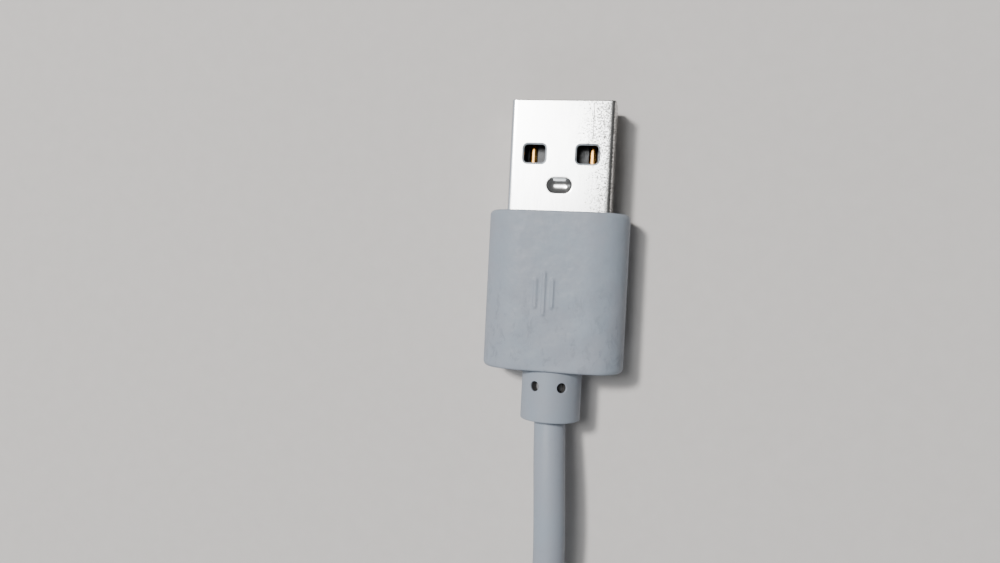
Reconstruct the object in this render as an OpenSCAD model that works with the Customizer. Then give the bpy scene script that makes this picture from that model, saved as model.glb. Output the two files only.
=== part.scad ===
// Interface cable for programming small controllers over a serial line.
// A type A plug with the bridge circuit moulded into its grip, a round cord and a
// single-row crimp socket on four loose leads. The spare cord is folded into a tied hank.
// X is the width, +Y the direction of insertion, +Z up from the table.

/* [Plug shell] */
// Outside width of the metal shell
shell_w = 12; // [10:0.1:15]
// Outside height of the metal shell
shell_h = 4.5; // [3.9:0.1:5.4]
// Sheet thickness of the shell
shell_wall = 0.3; // [0.25:0.01:0.36]
// Outside corner radius of the shell
shell_corner = 0.5; // [0.45:0.01:0.6]
// Length of shell that stands out of the grip
shell_out = 12.8; // [11.8:0.1:15.4]
// Length of shell held inside the grip
shell_held = 3; // [2.5:0.1:3.6]
// Width of a latch window
window_w = 2.9; // [2.4:0.1:3.5]
// Length of a latch window
window_l = 2.5; // [2:0.1:3]
// Corner radius of a latch window
window_r = 0.65; // [0.5:0.05:0.8]
// Distance from the shell's axis to a window's middle
window_x = 3.05; // [2.6:0.05:3.6]
// Distance from the front edge to a window's middle
window_back = 6.2; // [5.2:0.1:7.4]
// Width of the pressed dimple
dimple_w = 2.9; // [2.4:0.1:3.5]
// Length of the pressed dimple
dimple_l = 1.8; // [1.5:0.1:2.2]
// Distance from the front edge to the dimple's middle
dimple_back = 9.8; // [8.9:0.1:10.6]
// Depth of the pressed dimple
dimple_deep = 0.35; // [0.3:0.01:0.42]
// Height of the ears that grip the board's edges
ear_h = 1.8; // [1.5:0.1:2.2]
// Length of those ears
ear_l = 2.4; // [2:0.1:2.9]

/* [Contact carrier] */
// Gap between the tongue and the shell's roof
mouth_h = 1.95; // [1.6:0.05:2.3]
// Distance from the shell's front edge to the tongue's tip
tongue_back = 0.4; // [0.3:0.05:0.6]
// Distance from the shell's front edge to the full-height block
block_back = 8.8; // [7.4:0.1:8.85]
// Clearance between the carrier and the shell
carrier_gap = 0.05; // [0.03:0.01:0.08]
// Width of a contact blade
contact_w = 1; // [0.8:0.05:1.2]
// Thickness of a contact blade
contact_t = 0.25; // [0.2:0.01:0.3]
// Height of a blade above the tongue
contact_proud = 0.05; // [0.03:0.01:0.1]
// Spacing of the two outer contacts
contact_outer = 7; // [6.6:0.1:7.4]
// Spacing of the two inner contacts
contact_inner = 2; // [1.8:0.1:2.4]
// Distance from the tongue's tip to a supply contact
supply_back = 0.8; // [0.6:0.1:1]
// Distance from the tongue's tip to a data contact
data_back = 1.8; // [1.6:0.1:2.2]
// Length of a contact's tail on the board
tail_l = 2.1; // [1.8:0.1:2.5]

/* [Circuit board] */
// Thickness of the board
board_t = 0.8; // [0.6:0.1:1]
// Length of the board
board_l = 10; // [9.7:0.1:10.3]
// Clearance at each of the board's edges
board_gap = 0.05; // [0.03:0.01:0.1]
// Width of the bridge chip
chip_w = 4.9; // [4.4:0.1:5.2]
// Length of the bridge chip's body
chip_l = 3.9; // [3.5:0.1:4]
// Height of the bridge chip's body
chip_h = 1.4; // [1:0.1:1.6]
// Length over the chip's leads
chip_span = 6; // [5.6:0.1:6.1]
// Spacing of the chip's leads
lead_pitch = 0.635; // [0.5:0.005:0.65]
// Leads on each side of the chip
lead_count = 8; // [6:1:8]

/* [Grip] */
// Thickness of the grip beside the shell
grip_side = 2.2; // [1.8:0.1:2.7]
// Thickness of the grip over the shell
grip_over = 1.75; // [1.5:0.05:2.1]
// Length of the grip
grip_l = 18.3; // [17.4:0.1:22]
// Width of the flat on the grip's top and bottom
grip_flat = 6; // [4:0.5:8]
// Fullness of the grip's crown: 2 is an ellipse, and a higher number is squarer
crown_power = 2.4; // [2.1:0.1:2.9]
// Corner radius of the grip seen from above
grip_corner = 0.6; // [0.4:0.1:1]
// Thickness of the inner mould beside the shell
core_side = 0.6; // [0.5:0.05:0.7]
// Thickness of the inner mould over the shell
core_over = 0.45; // [0.35:0.05:0.5]

/* [Strain relief] */
// Outside diameter of the sleeve
sleeve_d = 7; // [5.8:0.1:7.4]
// Length of sleeve behind the grip
sleeve_l = 5.9; // [5:0.1:7.1]
// Diameter of a vent hole in the sleeve
vent_d = 1.1; // [0.9:0.05:1.3]
// Depth of a vent hole
vent_deep = 1.1; // [0.9:0.05:1.3]
// Distance from the grip's rear face to the holes
vent_back = 1.8; // [1.4:0.1:2.2]
// Angle of a vent hole from the middle of the top
vent_angle = 27; // [22:1:32]
// Width of the locking flange inside the grip
flange_w = 10; // [8.6:0.1:11]
// Height of the locking flange
flange_h = 5.4; // [5:0.1:5.4]
// Thickness of the locking flange
flange_t = 1.4; // [1.1:0.1:1.6]
// Thickness of the grip's rear wall
rear_wall = 1.2; // [1:0.1:1.5]

/* [Cord] */
// Outside diameter of the cord
cord_d = 3.7; // [3:0.1:3.8]
// Outside diameter of one conductor with its insulation
wire_d = 1.1; // [0.9:0.05:1.2]
// Length of jacket stripped inside the grip
jacket_in = 3; // [2.7:0.1:3.3]
// Spacing of the conductors' pads on the board
pad_pitch = 1.5; // [1.3:0.1:1.7]

/* [Hank] */
// Clearance between the inner turns and the socket's corners in the fold
fold_gap = 0.6; // [0.5:0.1:0.7]
// Gap between one turn and the next
turn_gap = 0.02; // [0.01:0.01:0.1]
// Distance from the hank's middle to the middle of a fold
fold_y = 26; // [25:0.5:27]
// Half the length of the straight part under the tie
waist_half = 5.5; // [5:0.1:6]
// Distance from the hank's axis to the inner turns at the tie
waist_x = 3.5; // [2.9:0.1:4]
// Length of the tie along the hank
tie_l = 9; // [7.5:0.5:10.5]
// Thickness of the tie
tie_t = 0.8; // [0.6:0.1:1]
// Clearance between the tie and the turns
tie_gap = 0.1; // [0.05:0.05:0.2]

/* [Far end] */
// Number of ways in the socket
ways = 4; // [4]
// Pin spacing of the socket
pin_pitch = 2.54; // [2.54]
// Height of the socket housing
housing_h = 2.54; // [2.3:0.02:3]
// Length of the socket housing
housing_l = 14; // [11.8:0.1:15]
// Side of the square cavity for a contact
cavity = 1.9; // [1.7:0.05:2]
// Side of a crimp contact's box
box_w = 1.7; // [1.5:0.05:1.7]
// Sheet thickness of a crimp contact
box_wall = 0.2; // [0.15:0.01:0.25]
// Length of a crimp contact's box
box_l = 6.5; // [5.5:0.1:7.5]
// Outside diameter of the shrink sleeve on the jacket's end
shrink_d = 4.5; // [4.3:0.1:4.7]

/* [Hidden] */
$fn = 48;

// Heights, measured from the table and from the plug's own axis.
grip_w = shell_w + 2 * grip_side;
grip_h = shell_h + 2 * grip_over;
core_half_w = shell_w / 2 + core_side;
core_half_h = shell_h / 2 + core_over;
axis_z = grip_h / 2;
roof_in = shell_h / 2 - shell_wall;
tongue_top = roof_in - mouth_h;
blade_top = tongue_top + contact_proud;
blade_low = blade_top - contact_t;
board_top = blade_low;
board_low = board_top - board_t;
eps = 0.02;

// Stations along the plug, from the front edge backwards. The middle of its length is Y = 0.
front = (shell_out + grip_l + sleeve_l) / 2;
grip_front = front - shell_out;
grip_rear = grip_front - grip_l;
sleeve_end = grip_rear - sleeve_l;
shell_rear = grip_front - shell_held;
tongue_tip = front - tongue_back;
board_front = shell_rear - 0.1;
board_rear = board_front - board_l;
board_w = shell_w - 2 * shell_wall - 2 * board_gap;
chip_x = -1.2;
chip_y = shell_rear - tail_l - 0.4 - chip_span / 2;
flange_rear = grip_rear + rear_wall;
flange_front = flange_rear + flange_t;
core_front = grip_front - shell_held + 0.6;
core_rear = flange_front;
jacket_front = grip_rear + jacket_in;
pad_y = board_rear + 0.7;

// The hank's own places. Its turns lie in two columns and three layers.
half = cord_d / 2;
turn_pitch = cord_d + turn_gap;
housing_w = ways * pin_pitch;
fold_r = norm([housing_w, housing_l]) / 2 + fold_gap + half;
fold_out = fold_r + turn_pitch;
hank_start = -64.5;
hank_y = hank_start - fold_y;
two_layers = turn_pitch + cord_d;
three_layers = 2 * turn_pitch + cord_d;
rest_z = half + 0.05;

// The cord's free stretch, from the sleeve to where it joins the hank. It leaves the
// sleeve springing up a little, and comes down to the table before the hank.
ROUTE = [[0, sleeve_end, axis_z], [0.2, -22, 4.6], [0.4, -25, 5.05], [0.65, -29, 5.3],
         [0.8, -33, 5.2], [0.75, -37, 4.6], [-0.4, -41.3, 3.3], [-3.1, -45, 2.2],
         [-7, -47.4, rest_z], [-11.6, -49.9, rest_z], [-14.3, -54.5, rest_z],
         [-15, -59.5, rest_z], [-fold_out, hank_start, rest_z]];

// The shrink sleeve's middle line, as X and the distance from the hank's middle.
SHRINK = [[14.7, -25.8], [13.9, -22], [12.4, -18], [10.3, -14]];

// The middle line of the four leads: X, distance from the hank's middle, height as a
// share of the way from the socket up to the tie, and the spacing of the leads there.
LEADS = [[10.3, -14, 1.11, 0], [8.4, -11, 1.09, 0.75], [5.9, -6.5, 1.03, 1.25],
         [4.7, 0, 1, 1.2], [2.7, 5.5, 1, 1.25], [1.1, 9.5, 1, 1.25], [0.4, 13, 0.65, 1.35],
         [0.1, 16, 0.18, 2], [0, 19, 0, pin_pitch]];
housing_rear = hank_y + LEADS[len(LEADS) - 1][1];
housing_z = 0.1;
lead_low = housing_z + housing_h / 2;
lead_high = two_layers + tie_t + wire_d / 2 + 0.1;

// Points on a smooth curve through the list: each span is cut into steps by a cubic
// whose end slopes follow the neighbouring points.
function knot(p, i) = p[min(max(i, 0), len(p) - 1)];
function cubic(a, b, c, d, t) =
    0.5 * (2 * b + (c - a) * t + (2 * a - 5 * b + 4 * c - d) * t * t
    + (3 * b - a - 3 * c + d) * t * t * t);
function smooth(p, steps) = [
    for (i = [0 : len(p) - 2], s = [0 : steps - 1])
        cubic(knot(p, i - 1), p[i], p[i + 1], knot(p, i + 2), s / steps),
    p[len(p) - 1]];
function unit(v) = v / norm(v);
function heading(p, i) = unit(knot(p, i + 1) - knot(p, i - 1));

// A round tube carried along a line of points, closed at both ends.
module tube(line, d, sides = 8) {
    rings = len(line);
    points = [for (i = [0 : rings - 1])
        let (t = i == 0 || i == rings - 1 ? [0, sign(heading(line, i)[1]), 0] : heading(line, i),
             side = unit(cross(t, [0, 0, 1])),
             up = cross(side, t))
        for (k = [0 : sides - 1])
            line[i] + d / 2 * (side * cos(360 * k / sides) + up * sin(360 * k / sides))];
    walls = [for (i = [0 : rings - 2], k = [0 : sides - 1])
        let (a = i * sides + k, b = i * sides + (k + 1) % sides)
            [a, b, b + sides, a + sides]];
    first = [for (k = [sides - 1 : -1 : 0]) k];
    last = [for (k = [0 : sides - 1]) (rings - 1) * sides + k];
    polyhedron(points, concat([first], walls, [last]), convexity = 6);
}

// A flat outline in X and Z, about the plug's axis, drawn out from y0 back to y1.
module along(y0, y1) {
    translate([0, y0, axis_z]) rotate([90, 0, 0]) linear_extrude(y0 - y1) children();
}

// A box about the plug's axis, given by its two corners.
module block(low, high) {
    translate([low[0], low[1], low[2] + axis_z]) cube(high - low);
}

module rounded(w, h, r) {
    square([w - 2 * r, h], center = true);
    square([w, h - 2 * r], center = true);
    for (x = [-1, 1], y = [-1, 1])
        translate([x * (w / 2 - r), y * (h / 2 - r)]) circle(r);
}

module slot(w, l) {
    rounded(w, l, min(w, l) / 2 - eps / 2);
}

// Plug shell: a folded sheet tube with four latch windows and one pressed dimple.
module plug_shell() {
    inner_w = shell_w - 2 * shell_wall;
    inner_h = shell_h - 2 * shell_wall;
    color([0.86, 0.86, 0.87])
    difference() {
        union() {
            difference() {
                along(front, shell_rear) rounded(shell_w, shell_h, shell_corner);
                along(front + 1, shell_rear - 1)
                    rounded(inner_w, inner_h, shell_corner - shell_wall);
            }
            translate([0, front - dimple_back, axis_z + roof_in - dimple_deep])
                linear_extrude(dimple_deep + shell_wall / 2) slot(dimple_w, dimple_l);
            for (s = [-1, 1])
                block([s * (shell_w / 2 - shell_wall / 2) - shell_wall / 2,
                       shell_rear - ear_l, board_low - (ear_h - board_t) / 2],
                      [s * (shell_w / 2 - shell_wall / 2) + shell_wall / 2,
                       shell_rear + shell_wall, board_top + (ear_h - board_t) / 2]);
        }
        for (x = [-1, 1])
            translate([x * window_x, front - window_back, axis_z - shell_h])
                linear_extrude(2 * shell_h) rounded(window_w, window_l, window_r);
        translate([0, front - dimple_back, axis_z + shell_h / 2 - dimple_deep])
            linear_extrude(1) slot(dimple_w - 2 * shell_wall, dimple_l - 2 * shell_wall);
    }
}

// Contact carrier: a tongue under the mouth and a full-height block behind it.
module contact_carrier() {
    half_w = shell_w / 2 - shell_wall - carrier_gap;
    half_h = roof_in - carrier_gap;
    color([0.13, 0.13, 0.14])
    difference() {
        union() {
            block([-half_w, shell_rear, -half_h], [half_w, tongue_tip, tongue_top]);
            block([-half_w, shell_rear, -half_h], [half_w, front - block_back, half_h]);
        }
        for (x = [-1, 1]) {
            blade_slot(x * contact_outer / 2, supply_back);
            blade_slot(x * contact_inner / 2, data_back);
        }
        translate([0, front - dimple_back, axis_z + roof_in - dimple_deep - carrier_gap])
            linear_extrude(1)
                slot(dimple_w + 2 * carrier_gap, dimple_l + 2 * carrier_gap);
    }
}

module blade_slot(x, back) {
    w = contact_w / 2;
    y = tongue_tip - back;
    block([x - w, shell_rear - 1, blade_low], [x + w, y, blade_top]);
    block([x - w, y - 0.8, tongue_top - 0.7], [x + w, y + 0.1, blade_top]);
}

// One contact blade: its tip dips into the tongue and its tail lies on the board.
module blade(x, back) {
    y = tongue_tip - back;
    tail = shell_rear - tail_l;
    color([0.85, 0.66, 0.3])
    translate([x - contact_w / 2, 0, axis_z])
        rotate([90, 0, 90])
            linear_extrude(contact_w)
                polygon([[tail, blade_low], [y - 0.75, blade_low], [y - 0.25, tongue_top - 0.6],
                         [y, tongue_top - 0.6], [y - 0.5, blade_top], [tail, blade_top]]);
}

module contact_supply() { blade(-contact_outer / 2, supply_back); }
module contact_data_minus() { blade(-contact_inner / 2, data_back); }
module contact_data_plus() { blade(contact_inner / 2, data_back); }
module contact_ground() { blade(contact_outer / 2, supply_back); }

module circuit_board() {
    color([0.05, 0.3, 0.15])
    block([-board_w / 2, board_rear, board_low], [board_w / 2, board_front, board_top]);
}

// Bridge chip, with gull-wing leads down both long sides.
module bridge_chip() {
    color([0.09, 0.09, 0.1])
    difference() {
        block([chip_x - chip_w / 2, chip_y - chip_l / 2, board_top + 0.1],
              [chip_x + chip_w / 2, chip_y + chip_l / 2, board_top + 0.1 + chip_h]);
        translate([chip_x - chip_w / 2 + 0.7, chip_y - chip_l / 2 + 0.7,
                   axis_z + board_top + chip_h])
            cylinder(h = 1, r = 0.3);
    }
}

module bridge_chip_leads() {
    run = (chip_span - chip_l) / 2;
    mid = board_top + 0.1 + chip_h / 2;
    color([0.75, 0.75, 0.76])
    for (s = [0, 1], k = [0 : lead_count - 1])
        translate([chip_x, chip_y, axis_z])
            mirror([0, s, 0])
                translate([(k - (lead_count - 1) / 2) * lead_pitch - 0.12, chip_l / 2, 0])
                    rotate([90, 0, 90])
                        linear_extrude(0.24)
                            polygon([[0, mid - 0.08], [run * 0.3, mid - 0.08],
                                     [run * 0.45, board_top], [run, board_top],
                                     [run, board_top + 0.16], [run * 0.6, board_top + 0.16],
                                     [run * 0.45, mid + 0.08], [0, mid + 0.08]]);
}

// Small parts stand on the board beside the chip.
crystal_x = chip_x + chip_w / 2 + 2.2;
small_x = -board_w / 2 + 0.85;

module crystal() {
    color([0.8, 0.79, 0.74])
    union() {
        block([crystal_x - 1.25, chip_y - 1.6, board_top],
              [crystal_x + 1.25, chip_y + 1.6, board_top + 0.5]);
        block([crystal_x - 1.05, chip_y - 1.4, board_top + 0.4],
              [crystal_x + 1.05, chip_y + 1.4, board_top + 0.8]);
    }
}

module small_part(x, y, z, w, l, h) {
    block([x - w / 2, y - l / 2, z], [x + w / 2, y + l / 2, z + h]);
}

module capacitors() {
    color([0.72, 0.58, 0.42])
    for (k = [0 : 3])
        small_part(small_x, chip_y + (k - 1.5) * 2, board_top, 0.8, 1.6, 0.8);
}

module resistors() {
    color([0.12, 0.12, 0.13])
    for (k = [0 : 2])
        small_part((k - 1) * 2.4, chip_y + 1, board_low - 0.45, 1.6, 0.8, 0.45);
}

module resettable_fuse() {
    color([0.2, 0.45, 0.3])
    small_part(0, chip_y - 2, board_low - 0.7, 3.2, 1.6, 0.7);
}

// Solder at the four blades' tails and at the four conductors' pads.
module solder_joints() {
    tail = shell_rear - tail_l;
    color([0.7, 0.71, 0.72])
    union() {
        for (x = [-contact_outer / 2, -contact_inner / 2, contact_inner / 2, contact_outer / 2])
            block([x - contact_w / 2, tail - 0.3, board_top], [x + contact_w / 2, tail, blade_top]);
        for (k = [0 : 3])
            translate([spread(k, pad_pitch)[0], pad_y + 0.4, axis_z + board_top])
                cylinder(h = wire_d * 0.7, r1 = 0.4, r2 = 0.25);
    }
}

// Places of the four conductors about their middle line: two by two at a spacing of
// nothing, staggered as they spread, and side by side once they clear each other.
wire_room = wire_d + 0.1;
function spread(k, spacing) = [
    (k < 2 ? -1 : 1) * max(wire_room / 2, spacing) + (k % 2 - 0.5) * spacing,
    (k % 2 - 0.5) * sqrt(max(wire_room * wire_room - spacing * spacing, 0))];

// One conductor, from the jacket's end to its pad on the board.
module wire(k) {
    rise = board_top + wire_d / 2;
    middle = (jacket_front + board_rear) / 2;
    tube([for (stop = [[jacket_front, 0, 0], [jacket_front + 0.3, 0, 0], [middle, 0.6, 0.5],
                       [board_rear - 0.1, 1, 1], [pad_y, 1, 1]])
            let (at = spread(k, stop[1] * pad_pitch))
                [at[0], stop[0], axis_z + at[1] + rise * stop[2]]],
         wire_d);
}

module wire_black() { color([0.08, 0.08, 0.08]) wire(0); }
module wire_white() { color([0.9, 0.9, 0.88]) wire(1); }
module wire_green() { color([0.1, 0.45, 0.2]) wire(2); }
module wire_red() { color([0.75, 0.1, 0.1]) wire(3); }

// Inner mould: the hard fill that locks the shell, the board and the conductors together.
module inner_mould() {
    edge = board_w / 2;
    channel_w = 1.5 * pad_pitch + wire_d;
    channel_h = max(wire_room, abs(board_top) + wire_d) + 0.15;
    color([0.85, 0.83, 0.75])
    difference() {
        block([-core_half_w, core_rear, -core_half_h], [core_half_w, core_front, core_half_h]);
        along(grip_front, shell_rear) rounded(shell_w, shell_h, shell_corner);
        block([-shell_w / 2, shell_rear - ear_l, board_low - ear_h / 2],
              [shell_w / 2, shell_rear + 1, board_top + ear_h / 2]);
        block([-edge, board_rear, board_low], [edge, shell_rear + eps, board_top]);
        block([0.3 - edge, board_rear + 0.3, board_low - 0.8],
              [edge - 0.3, shell_rear + eps, board_top + chip_h + 0.2]);
        block([-channel_w, core_rear - 1, -channel_h], [channel_w, board_rear + 1, channel_h]);
        along(jacket_front + eps, core_rear - 1) circle(d = cord_d);
    }
}

// A quarter of the grip's outline in X and Z: a flat, then a squared ellipse.
function crown(a) = [grip_flat / 2 + (grip_w - grip_flat) / 2 * pow(sin(a), 2 / crown_power),
                     grip_h / 2 * pow(cos(a), 2 / crown_power)];
grip_edge = [for (a = [0 : 9 : 90]) crown(a)];

module grip_outline() {
    n = len(grip_edge);
    polygon(concat(
        [for (i = [0 : n - 1]) grip_edge[i]],
        [for (i = [n - 2 : -1 : 0]) [grip_edge[i][0], -grip_edge[i][1]]],
        [for (i = [0 : n - 1]) [-grip_edge[i][0], -grip_edge[i][1]]],
        [for (i = [n - 2 : -1 : 0]) [-grip_edge[i][0], grip_edge[i][1]]]));
}

// Grip: the soft outer mould, hollow for the inner mould, the shell and the flange.
module grip() {
    color([0.66, 0.68, 0.71])
    difference() {
        intersection() {
            along(grip_front, grip_rear) grip_outline();
            translate([0, grip_rear + grip_l / 2, -1])
                linear_extrude(grip_h + 2) rounded(grip_w, grip_l, grip_corner);
        }
        block([-core_half_w, core_rear, -core_half_h], [core_half_w, core_front, core_half_h]);
        along(grip_front + 1, core_front - eps) rounded(shell_w, shell_h, shell_corner);
        along(flange_front + eps, flange_rear) rounded(flange_w, flange_h, 1.2);
        along(flange_front, grip_rear - 1) circle(d = sleeve_d);
    }
}

// Strain relief: a round sleeve with vent holes, held in the grip by its flange.
module strain_relief() {
    color([0.66, 0.68, 0.71])
    difference() {
        union() {
            along(flange_front, flange_rear) rounded(flange_w, flange_h, 1.2);
            along(flange_front, sleeve_end) circle(d = sleeve_d);
        }
        along(flange_front + 1, sleeve_end - 1) circle(d = cord_d);
        for (a = [vent_angle, -vent_angle, 180 - vent_angle, 180 + vent_angle])
            translate([0, grip_rear - vent_back, axis_z])
                rotate([0, a, 0])
                    translate([0, 0, sleeve_d / 2 - vent_deep])
                        cylinder(h = 2 * vent_deep, d = vent_d);
    }
}

// The jacket's stretch inside the strain relief, with its conductors cut off flush.
module jacket_end() {
    color([0.66, 0.68, 0.71])
    along(jacket_front, sleeve_end) circle(d = cord_d);
}

module cord() {
    color([0.66, 0.68, 0.71])
    tube(smooth(ROUTE, 2), cord_d);
}

// Hank: X of the inner turns at a distance from the hank's middle. It is narrow under
// the tie, and widens to the folds along half a wave.
function waist(y) =
    let (t = min(max((abs(y) - waist_half) / (fold_y - waist_half), 0), 1))
        waist_x + (fold_r - waist_x) * (1 - cos(180 * t)) / 2;

// A closed loop that runs off the inner turns by a set distance.
module loop(off) {
    ys = [for (k = [-12 : 12]) fold_y * k / 12];
    polygon(concat([for (y = ys) [waist(y) + off, y]],
                   [for (k = [1 : 11]) [(fold_r + off) * cos(15 * k),
                                        fold_y + (fold_r + off) * sin(15 * k)]],
                   [for (y = ys) [-waist(y) - off, -y]],
                   [for (k = [1 : 11]) [-(fold_r + off) * cos(15 * k),
                                        -fold_y - (fold_r + off) * sin(15 * k)]]));
}

// The hank's outer shape: two full layers, and a third where the last turn lies on them.
module cord_hank() {
    color([0.62, 0.64, 0.67])
    translate([0, hank_y, 0])
    difference() {
        union() {
            linear_extrude(two_layers)
                difference() {
                    loop(turn_pitch + half);
                    loop(-half);
                }
            translate([0, 0, two_layers - eps])
                linear_extrude(turn_pitch + eps)
                    difference() {
                        loop(turn_pitch + half);
                        loop(turn_pitch - half);
                        translate([0, -fold_y]) square([2 * fold_out, fold_y + waist_half]);
                    }
        }
        translate([-fold_out - half - 1, fold_y, -1])
            cube([cord_d + 2.4, fold_out + half, 1 + rest_z + half + eps]);
        translate([-fold_out, -waist_half, -1])
            cube([2 * fold_out, 2 * waist_half, 1 + tie_t + tie_gap]);
    }
}

// Tie: a hook-and-loop strap round the hank's waist and the leads.
module hank_tie() {
    w = 2 * (waist_x + turn_pitch + half + tie_gap);
    h = three_layers + 2 * tie_gap;
    color([0.06, 0.06, 0.07])
    translate([0, hank_y + tie_l / 2, tie_t + h / 2])
        rotate([90, 0, 0])
            linear_extrude(tie_l)
                difference() {
                    rounded(w + 2 * tie_t, h + 2 * tie_t, 2);
                    square([w, h], center = true);
                }
}

module shrink_sleeve() {
    color([0.07, 0.07, 0.08])
    tube([for (p = SHRINK) [p[0], hank_y + p[1], two_layers + shrink_d / 2 + eps]],
         shrink_d, 12);
}

// One lead's line, beside the middle line of the four.
function lead_line(k) = [for (p = LEADS)
    let (at = spread(k, p[3]))
        [p[0] + at[0], hank_y + p[1], lead_low + p[2] * (lead_high - lead_low) + at[1]]];

module lead(k) { tube(lead_line(k), wire_d); }
module lead_black() { color([0.08, 0.08, 0.08]) lead(0); }
module lead_white() { color([0.9, 0.9, 0.88]) lead(1); }
module lead_green() { color([0.1, 0.45, 0.2]) lead(2); }
module lead_red() { color([0.75, 0.1, 0.1]) lead(3); }

// Socket housing: one row of cavities, open to the pins at the front.
module socket_housing() {
    color([0.06, 0.06, 0.065])
    difference() {
        translate([-housing_w / 2, housing_rear, housing_z])
            cube([housing_w, housing_l, housing_h]);
        for (k = [0 : ways - 1])
            translate([(k - (ways - 1) / 2) * pin_pitch, housing_rear, lead_low]) {
                translate([-cavity / 2, -1, -cavity / 2]) cube([cavity, housing_l + 0.5, cavity]);
                translate([-0.5, 0, -0.5]) cube([1, housing_l + 1, 1]);
                translate([-0.6, housing_l * 0.3, 0]) cube([1.2, housing_l * 0.22, housing_h]);
            }
    }
}

// Crimp contacts: a folded square tube with a crimp tail round each lead.
module socket_contacts() {
    box_front = housing_l - 0.6;
    color([0.82, 0.8, 0.72])
    for (k = [0 : ways - 1])
        translate([(k - (ways - 1) / 2) * pin_pitch, housing_rear, lead_low])
            difference() {
                union() {
                    translate([-box_w / 2, box_front - box_l, -box_w / 2])
                        cube([box_w, box_l, box_w]);
                    translate([-box_w / 2 + 0.1, 0.2, -box_w / 2])
                        cube([box_w - 0.2, box_front - box_l, 2 * box_wall]);
                }
                translate([-box_w / 2 + box_wall, box_front - box_l - 1, -box_w / 2 + box_wall])
                    cube([box_w - 2 * box_wall, box_l + 2, box_w - 2 * box_wall]);
            }
}

plug_shell();
contact_carrier();
contact_supply();
contact_data_minus();
contact_data_plus();
contact_ground();
circuit_board();
bridge_chip();
bridge_chip_leads();
crystal();
capacitors();
resistors();
resettable_fuse();
solder_joints();
wire_black();
wire_white();
wire_green();
wire_red();
inner_mould();
grip();
strain_relief();
jacket_end();
cord();
cord_hank();
hank_tie();
shrink_sleeve();
lead_black();
lead_white();
lead_green();
lead_red();
socket_housing();
socket_contacts();
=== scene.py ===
"""Cable for programming small controllers over a serial line.

A plug with the bridge circuit moulded into its grip, a round cord whose spare length is
folded into a tied hank, and a single-row crimp socket on four loose leads. Sizes are in
metres, X is the width, +Y the direction of insertion and +Z up from the table.
"""

import math

import bmesh
import bpy
import numpy as np
from bpy.props import FloatProperty, FloatVectorProperty, PointerProperty
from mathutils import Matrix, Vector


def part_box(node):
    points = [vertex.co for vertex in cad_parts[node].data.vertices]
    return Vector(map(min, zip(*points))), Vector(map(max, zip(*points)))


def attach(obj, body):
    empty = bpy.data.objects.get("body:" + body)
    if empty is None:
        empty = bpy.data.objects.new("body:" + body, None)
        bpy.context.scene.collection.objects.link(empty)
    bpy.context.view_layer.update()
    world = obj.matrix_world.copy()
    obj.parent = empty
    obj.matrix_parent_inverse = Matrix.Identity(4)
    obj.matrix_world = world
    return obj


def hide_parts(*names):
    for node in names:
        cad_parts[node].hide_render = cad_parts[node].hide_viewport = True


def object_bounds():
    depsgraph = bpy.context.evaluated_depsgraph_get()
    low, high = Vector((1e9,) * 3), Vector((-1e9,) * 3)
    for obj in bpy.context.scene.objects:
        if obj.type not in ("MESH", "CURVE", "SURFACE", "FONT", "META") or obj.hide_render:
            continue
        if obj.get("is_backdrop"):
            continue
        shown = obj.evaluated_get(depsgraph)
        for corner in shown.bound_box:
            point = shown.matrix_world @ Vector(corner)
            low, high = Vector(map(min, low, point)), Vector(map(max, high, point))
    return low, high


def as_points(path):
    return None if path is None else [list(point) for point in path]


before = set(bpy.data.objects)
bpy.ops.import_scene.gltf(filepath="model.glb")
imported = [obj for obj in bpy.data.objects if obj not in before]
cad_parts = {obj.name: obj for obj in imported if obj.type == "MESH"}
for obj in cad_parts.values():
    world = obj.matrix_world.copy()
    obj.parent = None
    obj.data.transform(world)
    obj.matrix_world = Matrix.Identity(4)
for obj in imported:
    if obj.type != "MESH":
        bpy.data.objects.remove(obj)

bl_info = {
    "name": "Serial Programming Cable",
    "version": (1, 0, 0),
    "blender": (4, 5, 0),
    "location": "View3D > Sidebar > Cable",
    "description": "Builds a moulded plug, its cord in a tied hank and a crimp socket",
    "category": "Add Mesh",
}

MM = 0.001
CAD_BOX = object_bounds()
NIL = 1e-7  # places closer than this are one


def corners(node):
    """The low and the high corner of a CAD node's box."""
    return [np.array(corner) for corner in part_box(node)]


def span(box):
    """The width, length and height of a box."""
    return box[1] - box[0]


def middle(box):
    """The place in the middle of a box."""
    return (box[0] + box[1]) / 2


SHELL, GRIP, RELIEF, MOULD, HOUSING, TIE, HANK = map(corners, (
    "plug_shell", "grip", "strain_relief", "inner_mould", "socket_housing", "hank_tie",
    "cord_hank"))
AXIS_Z = middle(GRIP)[2]
HANK_Y = middle(HANK)[1]
REAR_WALL = 1.2 * MM  # of the grip, behind the strain relief's flange


# ---------------------------------------------------------------- settings


def length(name, description, default, **limits):
    """A length in metres that the sidebar shows in the scene's units."""
    return FloatProperty(name=name, description=description, default=default, unit="LENGTH",
                         precision=5, **limits)


def colour(name, description, default):
    """A colour as linear red, green and blue."""
    return FloatVectorProperty(name=name, description=description, default=default, size=3,
                               subtype="COLOR", min=0, max=1)


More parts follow.
